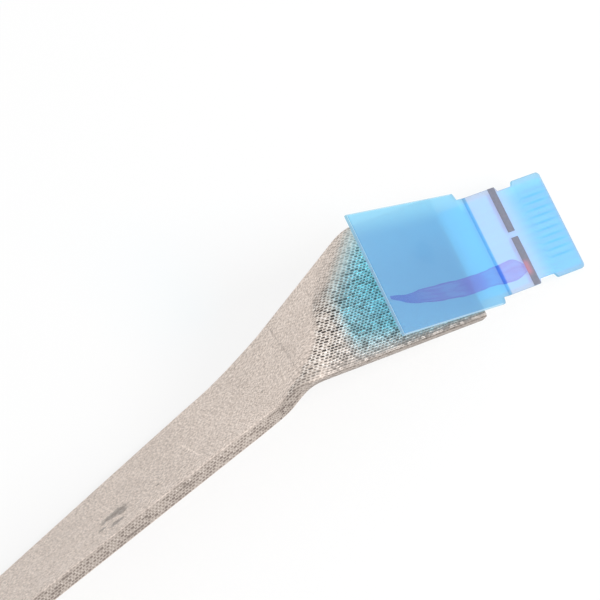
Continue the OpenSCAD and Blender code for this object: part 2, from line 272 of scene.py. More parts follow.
# ---------------------------------------------------------------- camera
VIEW_AZIMUTH = radians(-119.96)
VIEW_ELEVATION = radians(65.41)
VIEW_ROLL = radians(-12.84)
VIEW_DISTANCE = 160.0
VIEW_SHIFT = (-1.648, 0.266)
VIEW_WIDTH = 32.36
SENSOR_WIDTH = 36.0
CLIP_NEAR, CLIP_FAR = 0.01, 10


def view_axes():
    """The camera's right, up and back directions."""
    back = np.array([cos(VIEW_ELEVATION) * cos(VIEW_AZIMUTH),
                     cos(VIEW_ELEVATION) * sin(VIEW_AZIMUTH), sin(VIEW_ELEVATION)])
    right = np.array([-sin(VIEW_AZIMUTH), cos(VIEW_AZIMUTH), 0])
    up = np.cross(back, right)
    return (cos(VIEW_ROLL) * right + sin(VIEW_ROLL) * up,
            cos(VIEW_ROLL) * up - sin(VIEW_ROLL) * right, back)


def place(obj, axes, location):
    """Turn obj so that its X, Y and Z lie along axes, and put it at location, in mm."""
    turn = Matrix(np.array(axes).T.tolist()).to_4x4()
    obj.matrix_world = Matrix.Translation(location * MM) @ turn


def add_camera():
    """The camera, far off and with a narrow view of the fold."""
    camera = bpy.data.objects.new("camera", bpy.data.cameras.new("camera"))
    bpy.context.scene.collection.objects.link(camera)
    right, up, back = view_axes()
    place(camera, (right, up, back),
          FOLD_MIDDLE + VIEW_SHIFT[0] * right + VIEW_SHIFT[1] * up + VIEW_DISTANCE * back)
    camera.data.sensor_width = SENSOR_WIDTH
    camera.data.lens = SENSOR_WIDTH * VIEW_DISTANCE / VIEW_WIDTH
    camera.data.clip_start, camera.data.clip_end = CLIP_NEAR, CLIP_FAR
    bpy.context.scene.camera = camera


add_camera()


# ---------------------------------------------------------------- meshes
SHARP_ANGLE = radians(35)
# Rings lie close together up to CLOSE_TO, where the cable is folded, and far apart past WIDE_FROM
CLOSE_TO, WIDE_FROM = 22, 60
CLOSE_STEP, RING_STEP, WIDE_STEP = 0.15, 0.5, 1.5


def new_piece(name, points, faces, uvs, material):
    """A piece of the cable from points in mm, with a UV for each point in mm too."""
    mesh = bpy.data.meshes.new(name)
    mesh.from_pydata((np.asarray(points) * MM).tolist(), [], faces)
    layer = mesh.uv_layers.new(name="strip")
    corner_points = np.empty(len(mesh.loops), int)
    mesh.loops.foreach_get("vertex_index", corner_points)
    layer.data.foreach_set("uv", np.asarray(uvs, float)[corner_points].ravel())
    mesh.shade_smooth()
    mesh.set_sharp_from_angle(angle=SHARP_ANGLE)
    mesh.materials.append(material)
    obj = bpy.data.objects.new(name, mesh)
    bpy.context.scene.collection.objects.link(obj)
    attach(obj, "root")
    return obj


def ring_faces(rings, size, first=0, inward=False):
    """Quads between closed rings of the same size, laid out one after another."""
    faces = []
    for i in range(rings - 1):
        for j in range(size):
            a, b = first + i * size + j, first + i * size + (j + 1) % size
            face = (a, a + size, b + size, b)
            faces.append(face[::-1] if inward else face)
    return faces


def solid_faces(rings, size, inward=False):
    """The side quads and both end caps of a closed form."""
    last = (rings - 1) * size
    caps = [tuple(range(size - 1, -1, -1)), tuple(range(last, last + size))]
    return ring_faces(rings, size, inward=inward) + [cap[::-1] if inward else cap for cap in caps]


def arc(v, h, r, start, steps=5):
    """A quarter of a circle about (v, h), from start degrees on."""
    angles = [radians(start + 90 * i / steps) for i in range(steps + 1)]
    return [(v + r * cos(a), h + r * sin(a)) for a in angles]


def tube_section(half_w, low, lap_low, high, r, lap_edge, lap_slope, columns=36):
    """The wrap's section, counter-clockwise from its lower corner at negative v."""
    lines = np.linspace(-half_w + r, half_w - r, columns + 1)[1:-1]
    lap_end = half_w - lap_edge
    under = [(v, low + (lap_low - low) * min(1, max(0, (v - lap_end) / lap_slope))) for v in lines]
    return (arc(-half_w + r, low + r, r, 180) + under + arc(half_w - r, lap_low + r, r, 270)
            + arc(half_w - r, high - r, r, 0) + [(v, high) for v in lines[::-1]]
            + arc(-half_w + r, high - r, r, 90))


def around(section):
    """Distance round a section from the middle of its top, positive towards positive v."""
    points = np.array(section)
    steps = np.linalg.norm(np.diff(points, axis=0), axis=1)
    length = np.concatenate([[0], np.cumsum(steps)])
    top = points[:, 1] > points[:, 1].max() - 1e-6
    return np.interp(0, -points[top, 0], length[top]) - length


def make_wrap(material):
    """The cloth wrap: an outer and an inner skin, joined by a flat rim at both ends."""
    outer = tube_section(WRAP_W / 2, -WRAP_TOP, LAP_BOTTOM, WRAP_TOP, WRAP_EDGE_R, LAP_W, LAP_T)
    inner = tube_section(SLOT_W / 2, -SLOT_TOP, -SLOT_TOP, SLOT_TOP, SLOT_TOP / 4, LAP_W - WRAP_T,
                         LAP_T)
    end = CABLE_LENGTH - WRAP_START
    u = np.concatenate([np.arange(WRAP_START, CLOSE_TO, CLOSE_STEP),
                        np.arange(CLOSE_TO, WIDE_FROM, RING_STEP),
                        np.arange(WIDE_FROM, end, WIDE_STEP), [end]])
    size, rings = len(outer), len(u)
    points, uvs = [], []
    for section in (outer, inner):
        v, h = np.array(section).T
        points.append(strip_point(u[:, None], v[None, :], h[None, :]).reshape(-1, 3))
        along, over = np.broadcast_arrays(u[:, None], around(section)[None, :])
        uvs.append(np.stack([along, over], -1).reshape(-1, 2))
    inside = rings * size
    last = (rings - 1) * size
    faces = ring_faces(rings, size, inward=True) + ring_faces(rings, size, inside)
    for j in range(size):
        k = (j + 1) % size
        faces.append((j, k, inside + k, inside + j))
        faces.append((last + k, last + j, inside + last + j, inside + last + k))
    piece = new_piece("woven_wrap", np.concatenate(points), faces, np.concatenate(uvs), material)
    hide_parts("cloth_wrap")
    return piece


def make_insulation(name, low, high, bare, node, material):
    """One insulation film of the laminate, which leaves bare mm of the conductors at each end."""
    v = np.linspace(-FILM_W / 2, FILM_W / 2, CONDUCTOR_COUNT + 2)
    end = CABLE_LENGTH - bare
    u = np.concatenate([[bare], np.arange(bare + RING_STEP, WIDE_FROM, RING_STEP),
                        np.arange(WIDE_FROM, end, WIDE_STEP), [end]])
    across, up = np.array([(x, low) for x in v] + [(x, high) for x in v[::-1]]).T
    points = strip_point(u[:, None], across[None, :], up[None, :]).reshape(-1, 3)
    uvs = np.stack(np.broadcast_arrays(u[:, None], across[None, :]), -1).reshape(-1, 2)
    faces = solid_faces(len(u), len(across), inward=True)
    piece = new_piece(name, points, faces, uvs, material)
    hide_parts(node)
    return piece


# Lengths over which a notch narrows and widens the blue film
NOTCH_IN, NOTCH_OUT = 0.2, 0.15
FILM_EDGE = 0.03
# Rings of the blue film, from where to where and how far apart. They lie close together at the
# corners of the outline and in the bend.
FILM_RINGS = ((0.3, 1.8, 0.1), (1.8, 2.05, 0.03), (2.1, 2.85, 0.1), (2.88, 3.1, 0.03),
              (3.15, 4.95, 0.15), (5, 5.3, 0.03), (5.32, 5.65, 0.06), (5.65, 5.85, 0.02))
TAB_RINGS_FROM = 5.9


def film_half_width(q):
    """Half the film's width at q, with its ears, notches, neck and widening tab."""
    shoulder = CREASE_U + BEND_LENGTH + TAB_NECK
    half = NECK_W / 2
    if q < TIP_R:
        half -= TIP_R - sqrt(max(0.0, TIP_R ** 2 - (TIP_R - q) ** 2))
    narrowed = ease((q - EAR_LENGTH) / NOTCH_IN) - ease((q - BAR_U + NOTCH_OUT) / NOTCH_OUT)
    half -= EAR_OUT * narrowed
    half += (TAB_ROOT_W - NECK_W) / 2 * ease((q - shoulder) / TAB_SHOULDER)
    half += (TAB_END_W - TAB_ROOT_W) / 2 * max(0.0, (q - shoulder) / (FILM_END - shoulder))
    return half


def make_film(material):
    """The die-cut blue film: a thin section with softened edges, swept along the film."""
    q = np.concatenate([TIP_R * (1 - np.cos(np.linspace(0, pi / 2, 7))),
                        *(np.arange(*span) for span in FILM_RINGS),
                        np.linspace(TAB_RINGS_FROM, FILM_END, 40)])
    low, edge = -STIFFENER_T, FILM_EDGE
    section = [(-1, 0, low + edge), (-1, edge, low), (1, edge, low), (1, 0, low + edge),
               (1, 0, -edge), (1, edge, 0), (-1, edge, 0), (-1, 0, -edge)]
    half = np.array([film_half_width(x) for x in q])
    points, uvs = [], []
    for i, x in enumerate(q):
        for side, back, up in section:
            v = side * (half[i] - back)
            points.append(film_point(x, v, up))
            uvs.append((x, side))
    faces = solid_faces(len(q), len(section), inward=True)
    piece = new_piece("pull_tab_film", points, faces, uvs, material)
    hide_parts("pull_tab_stiffener")


# The stroke's middle line and width: share of its length, shift and width as shares of STROKE_W
STROKE_STATIONS = np.array([
    [0, 0.1, 0.4], [0.04, 0, 0.9], [0.14, 0, 1], [0.26, 0.02, 0.84], [0.4, 0.12, 0.88],
    [0.56, 0.1, 0.85], [0.75, 0.03, 0.72], [0.88, -0.04, 0.46], [0.95, -0.18, 0.3],
    [1, -0.3, 0.16]])
STROKE_START = BAR_U + BAR_W


def smooth_rows(rows, count):
    """A smooth curve through rows, evenly spaced in their first column."""
    t = np.linspace(rows[0, 0], rows[-1, 0], count)
    i = np.clip(np.searchsorted(rows[:, 0], t, side="right") - 1, 0, len(rows) - 2)
    slopes = np.gradient(rows, rows[:, 0], axis=0)
    gap = (rows[i + 1, 0] - rows[i, 0])[:, None]
    f = (t - rows[i, 0])[:, None] / gap
    return ((2 * f ** 3 - 3 * f ** 2 + 1) * rows[i] + (f ** 3 - 2 * f ** 2 + f) * gap * slopes[i]
            + (3 * f ** 2 - 2 * f ** 3) * rows[i + 1] + (f ** 3 - f ** 2) * gap * slopes[i + 1])


def make_stroke(material):
    """The brush stroke of ink, thinner towards its edges."""
    rows = smooth_rows(STROKE_STATIONS, 90)
    across = np.linspace(-1, 1, 9)
    points, uvs = [], []
    for share, shift, width in rows:
        q = STROKE_START + share * STROKE_LENGTH
        v = STROKE_V + (shift + across * width / 2) * STROKE_W
        # The brush wandered a little on both edges
        v = v + (0.015 * sin(3.1 * q) + 0.007 * sin(7.3 * q + 1)) * across ** 2
        points += list(film_point(q, v, INK_T * (1 - 0.5 * across ** 2)))
        points += list(film_point(q, v[::-1], INK_T / 10))
        uvs += [(q, a) for a in across] + [(q, a) for a in across[::-1]]
    faces = solid_faces(len(rows), 2 * len(across))
    piece = new_piece("ink_stroke", points, faces, uvs, material)
    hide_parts("inspection_stroke")


def make_bar(name, v_from, v_to, node, material):
    """One printed insertion bar, with ink that thins at its edges."""
    q = np.linspace(BAR_U, BAR_U + BAR_W, 7)
    v = np.linspace(v_from, v_to, 25)
    grid_q, grid_v = (a.ravel() for a in np.meshgrid(q, v))
    inset = np.minimum(grid_q - q[0], q[-1] - grid_q)
    top = film_point(grid_q, grid_v, INK_T * np.where(inset > 0, 1, 0.6))
    bottom = film_point(grid_q, grid_v, INK_T / 10)
    wide, count = len(q), len(grid_q)
    faces = []
    for i in range(len(v) - 1):
        for j in range(wide - 1):
            a = i * wide + j
            faces.append((a, a + wide, a + wide + 1, a + 1))
            faces.append(tuple(count + k for k in (a, a + 1, a + wide + 1, a + wide)))
    rim = ([j for j in range(wide)] + [i * wide + wide - 1 for i in range(1, len(v))]
           + [count - 1 - j for j in range(1, wide)] + [i * wide for i in range(len(v) - 2, 0, -1)])
    for a, b in zip(rim, rim[1:] + rim[:1]):
        faces.append((a, b, count + b, count + a))
    piece = new_piece(name, np.concatenate([top, bottom]), faces,
                      np.tile(np.stack([grid_q, grid_v], -1), (2, 1)), material)
    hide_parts(node)


# ---------------------------------------------------------------- node helpers
class Nodes:
    """Short calls that build a node tree and pass sockets on."""

    def __init__(self, name):
        self.material = bpy.data.materials.new(name)
        self.material.use_nodes = True
        self.tree = self.material.node_tree
        self.tree.nodes.clear()

    def add(self, kind, inputs=(), out=0, **settings):
        """A new node with its inputs fed. Returns one of its outputs."""
        node = self.tree.nodes.new(kind)
        for key, value in settings.items():
            setattr(node, key, value)
        for key, value in dict(inputs).items():
            self.feed(node.inputs[key], value)
        return node.outputs[out]

    def feed(self, socket, value):
        """Link another node's output to socket, or set a constant on it."""
        if isinstance(value, bpy.types.NodeSocket):
            self.tree.links.new(value, socket)
        else:
            socket.default_value = value

    def math(self, operation, a, b=0.0):
        return self.add("ShaderNodeMath", {0: a, 1: b}, operation=operation)

    def plus(self, *values):
        return reduce(lambda a, b: self.math("ADD", a, b), values)

    def minus(self, a, b):
        return self.math("SUBTRACT", a, b)

    def times(self, *values):
        return reduce(lambda a, b: self.math("MULTIPLY", a, b), values)

    def largest(self, *values):
        return reduce(lambda a, b: self.math("MAXIMUM", a, b), values)

    def rest(self, value):
        """What value leaves of 1."""
        return self.minus(1.0, value)

    def off_centre(self, value):
        """How far value lies from the middle between two whole numbers, from -0.5 to 0.5."""
        return self.minus(self.math("FRACT", value), 0.5)

    def curve(self, x, terms):
        """A polynomial in x, with its terms from the constant up."""
        total = terms[-1]
        for term in terms[-2::-1]:
            total = self.plus(self.times(total, x), term)
        return total

    def vector_math(self, operation, a, b=(0, 0, 0), out=0):
        return self.add("ShaderNodeVectorMath", {0: a, 1: b}, out, operation=operation)

    def mix(self, share, a, b, blend="MIX"):
        return self.add("ShaderNodeMix", {0: share, 6: a, 7: b}, out=2, data_type="RGBA",
                        blend_type=blend)

    def step(self, value, low, high, start=0.0, end=1.0):
        """start below low and end above high, with a smooth way between."""
        return self.add("ShaderNodeMapRange", {"Value": value, "From Min": low, "From Max": high,
                                               "To Min": start, "To Max": end},
                        interpolation_type="SMOOTHSTEP")

    def band(self, value, low, high, soft):
        """1 where value lies between low and high, with soft ends."""
        return self.minus(self.step(value, low - soft, low + soft),
                          self.step(value, high - soft, high + soft))

    def noise(self, vector, scale, detail):
        return self.add("ShaderNodeTexNoise", {"Vector": vector, "Scale": scale, "Detail": detail})

    def stray(self, vector, scale, detail, reach):
        """Noise about zero, with reach from its least to its most."""
        return self.times(self.minus(self.noise(vector, scale, detail), 0.5), reach)

    def chance(self, vector):
        """A random value for each whole vector."""
        return self.add("ShaderNodeTexWhiteNoise", {"Vector": vector}, noise_dimensions="3D")

    def vector(self, x, y, z=0.0):
        return self.add("ShaderNodeCombineXYZ", {0: x, 1: y, 2: z})

    def strip(self):
        """The two strip coordinates of the surface, in mm."""
        split = self.add("ShaderNodeSeparateXYZ", {0: self.add("ShaderNodeUVMap", uv_map="strip")})
        return split, split.node.outputs[1]

    def bump(self, height, strength, distance):
        """Relief that stands at most distance mm proud."""
        return self.add("ShaderNodeBump", {"Height": height, "Strength": strength,
                                           "Distance": distance * MM})

    def surface(self, colour, roughness, more=()):
        """A principled shader, with more of its inputs by name."""
        return self.add("ShaderNodeBsdfPrincipled", {"Base Color": colour, "Roughness": roughness,
                                                     **dict(more)})

    def finish(self, surface):
        output = self.tree.nodes.new("ShaderNodeOutputMaterial")
        self.tree.links.new(surface, output.inputs["Surface"])
        return self.material


# ---------------------------------------------------------------- cloth
# Below, lengths are in mm: u along the cable, and over round the wrap from the middle of its top
WARP_PITCH = 0.134
FLOAT_PITCH = 0.232
SWAY = 0.12
DRAG = 0.55
# The colour of the painted highlights on the crowns of the threads
CLOTH_PAINTED_GLINT = (1.0, 0.94, 0.88, 1)
CLOTH_BRIGHT = (0.94, 0.815, 0.725, 1)
CLOTH_DEEP = (0.5, 0.42, 0.37, 1)
CLOTH_DULL = (0.5728, 0.4886, 0.4316, 1)
CLOTH_TIGHT = (0.76, 0.665, 0.59, 1)
CLOTH_HOLE = (0.04, 0.034, 0.032, 1)
CLOTH_SHADE = (0.12, 0.085, 0.07, 1)
# The line where the open weave over the fold meets the smooth face: u as a cubic in over
FOLD_EDGE = (16.12, 0.304, 0.025, 0.0458)
# The line up to which the contact side gets more painted shade, along the edge of the tab's cast
# shadow: u as a quadratic in over
PAINTED_SHADE_EDGE = (14.95, 0.89, -0.05)
# The ridge of the fold, as distances past FOLD_EDGE
RIDGE = (-1.5, 0.05)
LONG_EDGE = (WRAP_W / 2 - 0.02, WRAP_W / 2 + 2 * WRAP_TOP)
# How open the weave is at most on the contact side, on the long edges, and everywhere at least
SIDE_OPEN, EDGE_OPEN, LEAST_OPEN = 0.78, 0.5, 0.2
# The line of the crease across the run: u as a line in over
CREASE_LINE = (18.75, -0.13)
# How much painted shade darkens the crease across the run
CREASE_PAINTED_SHADE = 0.28
PALE_THREAD_U, PALE_THREAD_OVER = (26.56, 26.66), (-0.4, 2.4)
PALE_THREAD_GAIN = 0.25
# Each smudge: its middle, and its reach along and across the cable
SMUDGES = ((32.0, 1.2, 0.95, 0.42), (31.6, 1.6, 0.4, 0.25), (32.3, 2.4, 0.45, 0.26),
           (33.1, 1.9, 0.25, 0.15), (29.3, 1.9, 0.12, 0.1), (21.2, 1.3, 0.1, 0.08))
SMUDGE_DEPTH = 0.5


def weave(n, u, over, at):
    """Where the gaps and the crowns of the floats lie, and a random value for each of them."""
    # Threads wander a little, so neither set is ruled straight
    row = n.math("DIVIDE", n.plus(over, n.stray(at, 0.9, 3, SWAY)), WARP_PITCH)
    row_no = n.math("FLOOR", row)
    half_step = n.times(n.math("FLOORED_MODULO", row_no, 2.0), 0.5)
    drag = n.stray(n.vector(n.times(u, 0.3), over), 4.0, 1, DRAG)
    column = n.plus(n.math("DIVIDE", u, FLOAT_PITCH), half_step, drag)
    on_row = n.math("COSINE", n.times(n.off_centre(row), pi))
    off_column = n.times(n.off_centre(column), pi)
    # 1 in the middle of the gap between four threads, 0 on the threads
    gap = n.times(n.math("POWER", on_row, 2.3), n.math("POWER", n.math("COSINE", off_column), 0.8))
    # 1 on the crown of each float, between two gaps of a row
    crown = n.times(on_row, n.math("ABSOLUTE", n.math("SINE", off_column)))
    gap_cell = n.vector(n.math("FLOOR", column), row_no)
    float_cell = n.vector(n.math("FLOOR", n.plus(column, 0.5)), row_no, 7.0)
    return SimpleNamespace(gap=gap, crown=crown, gap_chance=n.chance(gap_cell),
                           float_chance=n.chance(float_cell))


def stretches(n, u, over, at):
    """Masks for the parts of the wrap, and how far its weave is drawn open there."""
    ragged = n.stray(at, 2.5, 3, 0.7)
    past = n.plus(n.minus(u, n.curve(over, FOLD_EDGE)), ragged)
    ridge = n.band(past, *RIDGE, 0.25)
    on_fold = n.times(ridge, n.step(over, -1.8, 0.5, 0.25, 1.0), n.step(over, 2.4, 3.6, 1.0, 0.5))
    top_face = n.step(n.math("ABSOLUTE", over), WRAP_W / 2, WRAP_W / 2 + 0.1, 1.0, 0.0)
    on_edge = n.band(over, *LONG_EDGE, 0.1)
    by_edge = n.times(n.step(over, 3.0, 3.5), n.step(past, -0.8, -0.3, 1.0, 0.0))
    # The contact side up to the edge of the tab's shadow, which gets more painted shade
    painted_shade_side = n.step(n.minus(u, n.curve(over, PAINTED_SHADE_EDGE)), -0.4, 0.4, 1.0, 0.0)
    shallow = n.times(n.step(over, -1.6, -0.2, 0.62, 0.0), n.rest(painted_shade_side))
    # The weave is tight on the run, and drawn open over the fold and round the long edges
    side_open = n.times(n.step(past, -0.2, 0.1, 1.0, 0.0), n.step(u, 11.3, 12.6, 0.2, 1.0),
                        n.rest(shallow), n.rest(n.times(by_edge, 0.6)), SIDE_OPEN)
    edge_open = n.times(on_edge, n.step(u, 11.5, 14.0, 0.15, EDGE_OPEN))
    opened = n.plus(n.times(n.largest(on_fold, side_open, edge_open), 1 - LEAST_OPEN), LEAST_OPEN)
    return SimpleNamespace(ragged=ragged, past=past, ridge=ridge, on_fold=on_fold,
                           top_face=top_face, on_edge=on_edge, by_edge=by_edge,
                           painted_shade_side=painted_shade_side, opened=opened)


def thread_colour(n, at, threads, part):
    """Pale threads, near-black gaps, and painted highlights here and there where the weave is open.
    """
    uneven = n.times(n.minus(threads.gap_chance, 0.5), n.step(part.on_edge, 0.0, 1.0, 0.7, 1.0))
    depth = n.plus(threads.gap, uneven, n.times(part.on_fold, 0.06))
    hole = n.times(n.step(depth, 0.3, 0.72), part.opened)
    # Painted highlights: bright glints on the crowns of the floats where the weave is open
    painted_glint = n.step(n.plus(threads.crown, n.times(threads.float_chance, 0.7)), 0.65, 1.3)
    painted_glint = n.times(painted_glint, part.opened, n.rest(n.times(n.largest(part.on_edge, part.by_edge), 0.5)))
    tight = n.mix(n.step(n.noise(at, 7.0, 2), 0.3, 0.7), CLOTH_DULL, CLOTH_BRIGHT)
    ground = n.mix(n.plus(n.times(part.on_fold, 0.4), 0.45), CLOTH_DEEP, CLOTH_TIGHT)
    loose = n.mix(painted_glint, ground, n.mix(n.times(part.on_edge, 0.5), CLOTH_PAINTED_GLINT, CLOTH_BRIGHT))
    tone = n.mix(n.step(part.opened, LEAST_OPEN, 0.75), tight, loose)
    return n.mix(hole, tone, n.mix(part.on_edge, CLOTH_HOLE, CLOTH_SHADE))


def smudges(n, at):
    """Grey smudges with torn outlines."""
    dirt, torn = 0.0, n.stray(at, 3.0, 4, 1.3)
    for at_u, at_over, long, wide in SMUDGES:
        off = n.vector_math("SUBTRACT", at, (at_u, at_over, 0))
        apart = n.vector_math("LENGTH", n.vector_math("DIVIDE", off, (long, wide, 1)), out=1)
        dirt = n.largest(dirt, n.step(n.plus(apart, torn), 0.5, 1.2, 1.0, 0.0))
    return dirt


def cloth_shade(n, u, over, at, part):
    """How bright the cloth is: streaks of single threads, a slow drift and a lighter ridge top of
    painted light, painted shade on the contact side and long edges, and dirt.
    """
    streak = n.noise(n.vector(n.times(u, 6.0), n.times(over, 0.5)), 1.0, 3)
    # Painted light: the run is lighter up to u = 20 mm than past u = 30 mm, and the top of the
    # ridge is lighter
    shade = n.plus(n.step(streak, 0.2, 0.8, 0.94, 1.05), n.stray(at, 0.35, 3, 0.16),
                   n.step(u, 20.0, 30.0, 0.08, -0.02),
                   n.times(part.ridge, n.step(over, -2.6, -0.6, 0.09, 0.0)))
    # Painted shade: the contact side under the tab and the long edges are darkened, more so near
    # the tip
    side_painted_shade = n.plus(n.step(over, -2.4, 0.2, 0.1, 0.38), n.step(over, 1.8, 3.2, 0.0, 0.04),
                       n.times(part.by_edge, 0.16), n.step(u, 11.0, 13.5, 0.14, 0.0))
    side_painted_shade = n.times(side_painted_shade, n.step(part.past, -0.3, 0.0, 1.0, 0.0),
                        n.plus(n.times(part.painted_shade_side, 0.6), 0.4), part.top_face)
    edge_painted_shade = n.times(part.on_edge, n.step(u, 11.5, 14.5, 0.54, 0.41))
    return n.times(shade, n.rest(n.largest(side_painted_shade, edge_painted_shade)),
                   n.rest(n.times(smudges(n, at), SMUDGE_DEPTH)))


def run_crease(n, u, over, at, part):
    """A slight crease across the run, broken here and there."""
    line = n.plus(n.curve(over, CREASE_LINE), n.times(part.ragged, 0.5))
    return n.times(n.band(n.minus(u, line), -0.05, 0.05, 0.07), n.band(over, -3.4, 2.4, 0.9),
                   n.step(n.noise(at, 2.2, 2), 0.4, 0.6, 0.35, 1.0))


def cloth_material():
    """Woven conductive cloth, tight on the run and drawn open over the fold."""
    n = Nodes("conductive_cloth")
    u, over = n.strip()
    at = n.vector(u, over)
    threads = weave(n, u, over, at)
    part = stretches(n, u, over, at)
    crease = run_crease(n, u, over, at, part)
    pale_thread = n.times(n.band(u, *PALE_THREAD_U, 0.04), n.band(over, *PALE_THREAD_OVER, 0.4))
    # Painted shade darkens the crease across the run
    shade = n.minus(cloth_shade(n, u, over, at, part), n.times(crease, CREASE_PAINTED_SHADE))
    shade = n.plus(shade, n.times(pale_thread, PALE_THREAD_GAIN))
    grey = n.vector(shade, shade, shade)
    colour = n.mix(1.0, thread_colour(n, at, threads, part), grey, "MULTIPLY")
    relief = n.times(n.rest(threads.gap), n.plus(n.times(part.opened, 0.8), 0.2))
    relief = n.minus(relief, n.times(crease, 1.5))
    roughness = n.step(threads.gap_chance, 0.0, 1.0, 0.34, 0.6)
    return n.finish(n.surface(colour, roughness, {
        "Metallic": 0.2, "Specular IOR Level": 0.3, "Normal": n.bump(relief, 0.7, 0.03)}))


# ---------------------------------------------------------------- films and ink
# Distances q run along the blue film from its tip
BLUE_DEEP, BLUE_DEEPER = (0.28, 0.43, 0.68, 1), (0.24, 0.38, 0.62, 1)
BLUE_THIN = (0.46, 0.7, 0.86, 1)
BLUE_BACKED_LIGHT = (0.82, 0.63, 0.76, 1)
BLUE_RIB = (0.2, 0.44, 0.78, 1)
BLUE_DARK = (0.08, 0.22, 0.5, 1)
# The near-white of the painted highlights along the tab's edges
BLUE_RIM_HIGHLIGHT = (0.95, 0.98, 1, 1)
BLUE_GLOW = (0.33, 0.59, 0.77, 1)
PLAIN_BLUE, PLAIN_BLUE_DEEPER = (0.32, 0.5, 0.8, 1), (0.26, 0.42, 0.72, 1)
PLAIN_BLUE_GLOW = (0.33, 0.56, 0.7, 1)
# What is seen through the blue film, through its crease, and what lamps throw through it
BLUE_TINT, CREASE_TINT = (0.62, 0.93, 0.95, 1), (0.4, 0.8, 0.9, 1)
BLUE_LAMP_TINT = (0.17, 0.84, 1, 1)
# Shares of the blue film that are body, and of its body that glow
BODY_SHARE, GLOW_SHARE = 0.62, 0.45
# A faint blot on the tab
BLOT_AT, BLOT_DEPTH = (10.1, -0.5, 0), 0.14


def thin_plastic(n, share, tint, body, lamp_tint):
    """A see-through face: share of it is body, and lamps pass it tinted by lamp_tint."""
    clear = n.add("ShaderNodeBsdfTransparent", {"Color": tint})
    seen = n.add("ShaderNodeMixShader", {0: share, 1: clear, 2: body})
    lamp = n.add("ShaderNodeLightPath").node.outputs["Is Shadow Ray"]
    lit = n.add("ShaderNodeBsdfTransparent", {"Color": lamp_tint})
    return n.add("ShaderNodeMixShader", {0: lamp, 1: seen, 2: lit})


def blue_plastic(n, tint, colour, normal, glow_colour):
    """See-through blue plastic that glows where light falls on its back."""
    gloss = n.surface(colour, 0.3, {"Normal": normal})
    glow = n.add("ShaderNodeBsdfTranslucent", {"Color": glow_colour})
    body = n.add("ShaderNodeMixShader", {0: GLOW_SHARE, 1: gloss, 2: glow})
    return thin_plastic(n, BODY_SHARE, tint, body, BLUE_LAMP_TINT)


def off_between(n, v):
    """Distance, in pitches, from the middle between two conductors: 0.5 is a conductor's middle."""
    return n.math("ABSOLUTE", n.off_centre(n.plus(n.math("DIVIDE", v, CONDUCTOR_PITCH), 0.5)))


def within(n, v, reach, soft):
    """1 where v is no further than reach from the middle line."""
    return n.step(n.math("ABSOLUTE", v), reach - soft, reach, 1.0, 0.0)


def blue_film_material():
    """The blue pull-tab film, with painted highlights on its edges, painted shade at its crease,
    and what lies under it.
    """
    n = Nodes("blue_film")
    q, share = n.strip()
    v = n.times(share, TAB_END_W / 2)
    at = n.vector(q, v)
    # Painted shade: along the crease the film is drawn darker and less see-through
    crease = n.band(q, CREASE_U + 0.02, CREASE_U + BEND_LENGTH, 0.05)
    # Painted highlights: near-white lines along the tab's free end and long sides, with a painted
    # dark line just inside the end
    side_rim_highlight = n.times(n.step(n.math("ABSOLUTE", share), 0.99, 0.994),
                       n.step(q, CREASE_U + 0.9, CREASE_U + 1.1))
    rim = n.largest(n.step(q, FILM_END - 0.045, FILM_END - 0.03), side_rim_highlight)
    inner_rim_shade = n.band(q, FILM_END - 0.1, FILM_END - 0.05, 0.02)
    # The conductors under the tip show as faint ribs
    rib = n.times(n.step(off_between(n, v), 0.22, 0.5), n.band(q, 0.3, 1.7, 0.6),
                  within(n, v, FILM_W / 2 - 0.15, 0.15))
    mottle = n.step(n.noise(at, 0.8, 3), 0.35, 0.7)
    blot = n.plus(n.vector_math("DISTANCE", at, BLOT_AT, out=1), n.times(mottle, 0.5))
    blot = n.times(n.step(blot, 0.4, 1.3, 1.0, 0.0), BLOT_DEPTH)
    # Painted shade: dark along the crease and just inside the free end, and a faint blot
    dark = n.largest(n.times(crease, 0.8), blot, n.times(inner_rim_shade, 0.85))
    # Up to the crease the film lies on the cable, and painted light makes it pale there, as if lit
    # from the white films under it. Near its root and along one side the tab looks thinner.
    backed_painted_light = n.times(n.step(q, 1.8, 3.2, 0.25, 1.0),
                     n.step(q, CREASE_U, CREASE_U + 0.4, 1.0, 0.0))
    thin = n.largest(n.step(v, -3.6, -2.0, 0.9, 0.0), n.step(q, 6.9, 8.4, 0.3, 0.0))
    tone = n.mix(n.times(mottle, 0.1), BLUE_DEEP, BLUE_DEEPER)
    for mask, colour in ((thin, BLUE_THIN), (backed_painted_light, BLUE_BACKED_LIGHT), (n.times(rib, 0.75), BLUE_RIB),
                         (dark, BLUE_DARK), (n.times(rim, 0.75), BLUE_RIM_HIGHLIGHT)):
        tone = n.mix(mask, tone, colour)
    # Painted shade: less is seen through the crease
    tint = n.mix(n.times(crease, 0.6), BLUE_TINT, CREASE_TINT)
    normal = n.bump(n.noise(at, 0.35, 2), 0.2, 0.2)
    return n.finish(blue_plastic(n, tint, tone, normal, BLUE_GLOW))


def plain_film_material():
    """The same plastic on the far stiffener, without marks."""
    n = Nodes("plain_blue_film")
    mottle = n.noise(n.add("ShaderNodeTexCoord", out=3), 800.0, 3)
    tone = n.mix(mottle, PLAIN_BLUE, PLAIN_BLUE_DEEPER)
    return n.finish(blue_plastic(n, BLUE_TINT, tone, n.bump(mottle, 0.1, 0.02), PLAIN_BLUE_GLOW))


